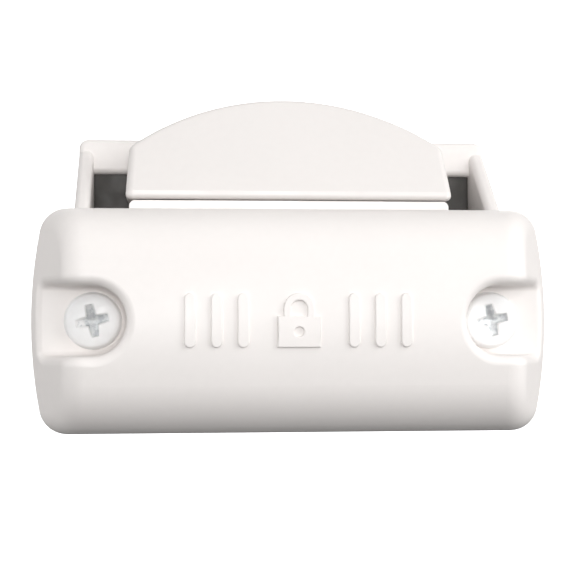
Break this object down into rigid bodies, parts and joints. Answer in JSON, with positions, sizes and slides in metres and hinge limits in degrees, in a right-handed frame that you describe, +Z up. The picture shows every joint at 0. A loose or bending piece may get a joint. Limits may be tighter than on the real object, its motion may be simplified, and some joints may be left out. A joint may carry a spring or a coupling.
{
  "type": "stair gate latch",
  "caption": "Wall-side stair gate latch: D-shaped white cover, arched thumb tab above it, cheeks with two striker throats, and sliding bolts inside.",
  "frame": {"origin": "centre of the four wall screw holes, on the wall plate's back face; it is level with the two cover screws", "axes": "+X to the right along the latch, +Y into the wall, +Z up towards the thumb tab"},
  "size_m": [0.08, 0.0299, 0.0536],
  "materials": {
    "cover_white": "satin moulded white",
    "housing_white": "satin moulded white",
    "cap_white": "satin moulded white",
    "slider_white": "fine matt white",
    "painted_screw": "white enamel, worn in the recess",
    "black_coated_steel": "fine textured black coating",
    "zinc_steel": "bright zinc",
    "dark_acetal": "matt",
    "nickel_bolt": "satin nickel",
    "ground_pin": "ground",
    "spring_steel": "oiled spring steel",
    "black_rubber": "matt"
  },
  "bodies": {
    "housing": {"front_cover": "cover_white", "back_housing": "housing_white", "wall_plate": "black_coated_steel", "press_nuts": "zinc_steel", "cover_screws": "painted_screw", "mechanism_frame": "dark_acetal", "frame_screws": "zinc_steel", "stop_buffers": "black_rubber", "striker_pad_left": "black_rubber", "striker_pad_right": "black_rubber", "return_spring_left": "spring_steel", "return_spring_right": "spring_steel"},
    "button": {"thumb_cap": "cap_white", "button_slider": "slider_white", "cap_screws": "zinc_steel"},
    "left_bolt": {"bolt_left": "nickel_bolt", "drive_pin_left": "ground_pin", "pin_clip_left": "spring_steel"},
    "right_bolt": {"bolt_right": "nickel_bolt", "drive_pin_right": "ground_pin", "pin_clip_right": "spring_steel"}
  },
  "joints": [
    {"name": "button_press", "type": "slide", "parent": "housing", "child": "button", "axis": [0, 0, -1], "range_m": [0, 0.005], "stiffness_N_per_m": 700, "springref_m": -0.006, "deforming": ["return_spring_left", "return_spring_right"]},
    {"name": "left_bolt_slide", "type": "slide", "parent": "housing", "child": "left_bolt", "axis": [1, 0, 0], "range_m": [0, 0.004]},
    {"name": "right_bolt_slide", "type": "slide", "parent": "housing", "child": "right_bolt", "axis": [-1, 0, 0], "range_m": [0, 0.004]}
  ],
  "couplings": [
    {"joint": "left_bolt_slide", "follows": "button_press", "ratio": 0.8},
    {"joint": "right_bolt_slide", "follows": "button_press", "ratio": 0.8}
  ]
}
